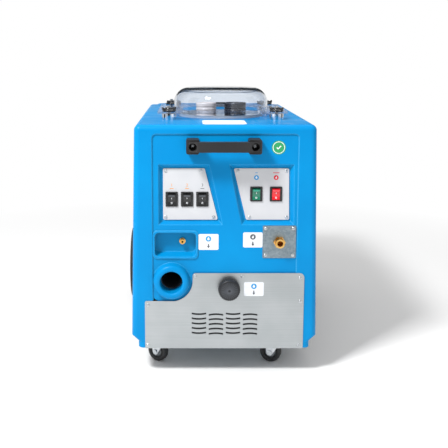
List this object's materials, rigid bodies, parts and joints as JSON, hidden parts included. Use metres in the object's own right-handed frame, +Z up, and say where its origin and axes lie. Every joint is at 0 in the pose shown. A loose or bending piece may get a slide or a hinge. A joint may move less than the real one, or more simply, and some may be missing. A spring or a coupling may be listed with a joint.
{
  "type": "spot extractor",
  "caption": "Wheeled spot extractor: blue moulded body, clear dome lid, rocker panels, vacuum port, water and steam outlets, steel front panel and steam boiler.",
  "frame": {"origin": "on the floor, under the middle of the whole machine", "axes": "+Z up, the control side faces -Y, +X is to the right as seen from the front"},
  "size_m": [0.4646, 0.726, 0.6],
  "materials": {
    "blue_moulding": "smooth moulded plastic, semi-gloss",
    "stainless_sheet": "finely brushed stainless sheet",
    "galvanised_sheet": "dull galvanised sheet",
    "zinc_steel": "bright zinc plate",
    "white_plate": "satin printed-label film on a plate",
    "black_gloss_plastic": "polished moulding",
    "green_lens": "tinted clear rocker",
    "red_lens": "tinted clear rocker",
    "brass_fitting": "turned brass",
    "black_plastic": "fine-grained moulding",
    "grey_duct_plastic": "moulded duct",
    "white_tank_plastic": "milky moulded plastic",
    "black_rubber": "smooth rubber",
    "orange_foam": "closed-cell foam",
    "clear_plastic": "clear moulded plastic, polished",
    "chrome_collar": "polished chrome plate",
    "copper_tube": "drawn copper, slightly dulled",
    "black_painted_metal": "satin black enamel",
    "cast_aluminium": "as cast",
    "grey_hub_plastic": "fine-grained moulding",
    "black_tyre": "matt rubber",
    "caster_tread": "grey-black rubber",
    "red_lever_coating": "dipped vinyl on steel"
  },
  "bodies": {
    "root": {"body_shell": "blue_moulding", "rear_cover": "blue_moulding", "base_plate": "zinc_steel", "front_panel": "stainless_sheet", "panel_screws": "zinc_steel", "left_control_panel": "white_plate", "right_control_panel": "white_plate", "switch_housings": "black_gloss_plastic", "steam_plate": "galvanised_sheet", "steam_fitting": "brass_fitting", "water_nipple": "brass_fitting", "front_handle": "black_plastic", "rear_handle": "black_plastic", "handle_screws": "zinc_steel", "vacuum_inlet_duct": "grey_duct_plastic", "recovery_tank": "white_tank_plastic", "lid_gasket": "black_rubber", "standpipes": "white_tank_plastic", "inlet_cap": "white_tank_plastic", "float_cage": "black_plastic", "lid_studs": "zinc_steel", "stud_collars": "chrome_collar", "filler_neck": "black_plastic", "boiler": "stainless_sheet", "boiler_heater": "brass_fitting", "steam_pipe": "copper_tube", "suction_duct": "grey_duct_plastic", "vacuum_motor": "black_painted_metal", "fan_casing": "cast_aluminium", "water_pump": "black_painted_metal", "water_hoses": "black_rubber", "solution_tank": "white_tank_plastic", "rear_axle": "zinc_steel", "caster_plates": "zinc_steel", "cord_gland": "black_plastic", "drain_valve": "brass_fitting"},
    "lid": {"lid": "clear_plastic"},
    "knob_front_left": {"knob_front_left": "black_plastic"},
    "knob_front_right": {"knob_front_right": "black_plastic"},
    "knob_rear_left": {"knob_rear_left": "black_plastic"},
    "knob_rear_right": {"knob_rear_right": "black_plastic"},
    "left_rocker_1": {"left_rocker_1": "black_gloss_plastic"},
    "left_rocker_2": {"left_rocker_2": "black_gloss_plastic"},
    "left_rocker_3": {"left_rocker_3": "black_gloss_plastic"},
    "green_rocker": {"green_rocker": "green_lens"},
    "red_rocker": {"red_rocker": "red_lens"},
    "filler_washer": {"filler_gasket": "black_rubber"},
    "filler_cap": {"filler_cap": "black_plastic"},
    "left_caster_fork": {"left_caster_fork": "zinc_steel"},
    "right_caster_fork": {"right_caster_fork": "zinc_steel"},
    "left_caster_wheel": {"left_caster_wheel": "caster_tread"},
    "right_caster_wheel": {"right_caster_wheel": "caster_tread"},
    "left_wheel": {"left_hub": "grey_hub_plastic", "left_tyre": "black_tyre"},
    "right_wheel": {"right_hub": "grey_hub_plastic", "right_tyre": "black_tyre"},
    "drain_lever": {"drain_lever": "red_lever_coating"},
    "impeller": {"impeller": "cast_aluminium"},
    "float": {"float_ring": "orange_foam"},
    "solution_cap": {"solution_cap": "black_plastic"}
  },
  "joints": [
    {"name": "lid_lift", "type": "slide", "parent": "root", "child": "lid", "axis": [0, 0, 1], "range_m": [0, 0.1]},
    {"name": "knob_front_left_turn", "type": "hinge", "parent": "lid", "child": "knob_front_left", "pos_m": [-0.118, -0.205, 0.555], "axis": [0, 0, 1], "continuous": true},
    {"name": "knob_front_right_turn", "type": "hinge", "parent": "lid", "child": "knob_front_right", "pos_m": [0.118, -0.205, 0.555], "axis": [0, 0, 1], "continuous": true},
    {"name": "knob_rear_left_turn", "type": "hinge", "parent": "lid", "child": "knob_rear_left", "pos_m": [-0.118, 0.019, 0.555], "axis": [0, 0, 1], "continuous": true},
    {"name": "knob_rear_right_turn", "type": "hinge", "parent": "lid", "child": "knob_rear_right", "pos_m": [0.118, 0.019, 0.555], "axis": [0, 0, 1], "continuous": true},
    {"name": "left_rocker_1_press", "type": "hinge", "parent": "root", "child": "left_rocker_1", "pos_m": [-0.11, -0.315, 0.3775], "axis": [-1, 0, 0], "range_deg": [0, 20]},
    {"name": "left_rocker_2_press", "type": "hinge", "parent": "root", "child": "left_rocker_2", "pos_m": [-0.0783, -0.315, 0.3775], "axis": [-1, 0, 0], "range_deg": [0, 20]},
    {"name": "left_rocker_3_press", "type": "hinge", "parent": "root", "child": "left_rocker_3", "pos_m": [-0.0466, -0.315, 0.3775], "axis": [-1, 0, 0], "range_deg": [0, 20]},
    {"name": "green_rocker_press", "type": "hinge", "parent": "root", "child": "green_rocker", "pos_m": [0.065, -0.315, 0.3885], "axis": [-1, 0, 0], "range_deg": [0, 20]},
    {"name": "red_rocker_press", "type": "hinge", "parent": "root", "child": "red_rocker", "pos_m": [0.1057, -0.315, 0.3885], "axis": [-1, 0, 0], "range_deg": [0, 20]},
    {"name": "filler_washer_slide", "type": "slide", "parent": "root", "child": "filler_washer", "axis": [0, -1, 0], "range_m": [0, 0.009]},
    {"name": "filler_cap_turn", "type": "hinge", "parent": "filler_washer", "child": "filler_cap", "pos_m": [0.0095, -0.345, 0.19], "axis": [0, -1, 0], "range_deg": [0, 1080]},
    {"name": "left_caster_swivel", "type": "hinge", "parent": "root", "child": "left_caster_fork", "pos_m": [-0.126, -0.268, 0.05], "axis": [0, 0, 1], "continuous": true},
    {"name": "left_caster_roll", "type": "hinge", "parent": "left_caster_fork", "child": "left_caster_wheel", "pos_m": [-0.14258, -0.25682, 0.023], "axis": [-0.5592, -0.829, 0], "continuous": true},
    {"name": "right_caster_swivel", "type": "hinge", "parent": "root", "child": "right_caster_fork", "pos_m": [0.126, -0.268, 0.05], "axis": [0, 0, 1], "continuous": true},
    {"name": "right_caster_roll", "type": "hinge", "parent": "right_caster_fork", "child": "right_caster_wheel", "pos_m": [0.10721, -0.26116, 0.023], "axis": [-0.342, -0.9397, 0], "continuous": true},
    {"name": "left_wheel_roll", "type": "hinge", "parent": "root", "child": "left_wheel", "pos_m": [-0.2158, 0.163, 0.1], "axis": [1, 0, 0], "continuous": true},
    {"name": "right_wheel_roll", "type": "hinge", "parent": "root", "child": "right_wheel", "pos_m": [0.2158, 0.163, 0.1], "axis": [1, 0, 0], "continuous": true},
    {"name": "drain_lever_turn", "type": "hinge", "parent": "root", "child": "drain_lever", "pos_m": [0.105, 0.343, 0.1693], "axis": [0, 0, 1], "range_deg": [0, 90]},
    {"name": "impeller_spin", "type": "hinge", "parent": "root", "child": "impeller", "pos_m": [0.034, 0.04, 0.21], "axis": [0, 0, 1], "continuous": true},
    {"name": "float_rise", "type": "slide", "parent": "root", "child": "float", "axis": [0, 0, 1], "range_m": [0, 0.2]},
    {"name": "solution_cap_turn", "type": "hinge", "parent": "root", "child": "solution_cap", "pos_m": [0, 0.195, 0.536], "axis": [0, 0, 1], "range_deg": [0, 90]}
  ],
  "couplings": [
    {"joint": "filler_washer_slide", "follows": "filler_cap_turn", "m_per_rad": 0.000477}
  ]
}
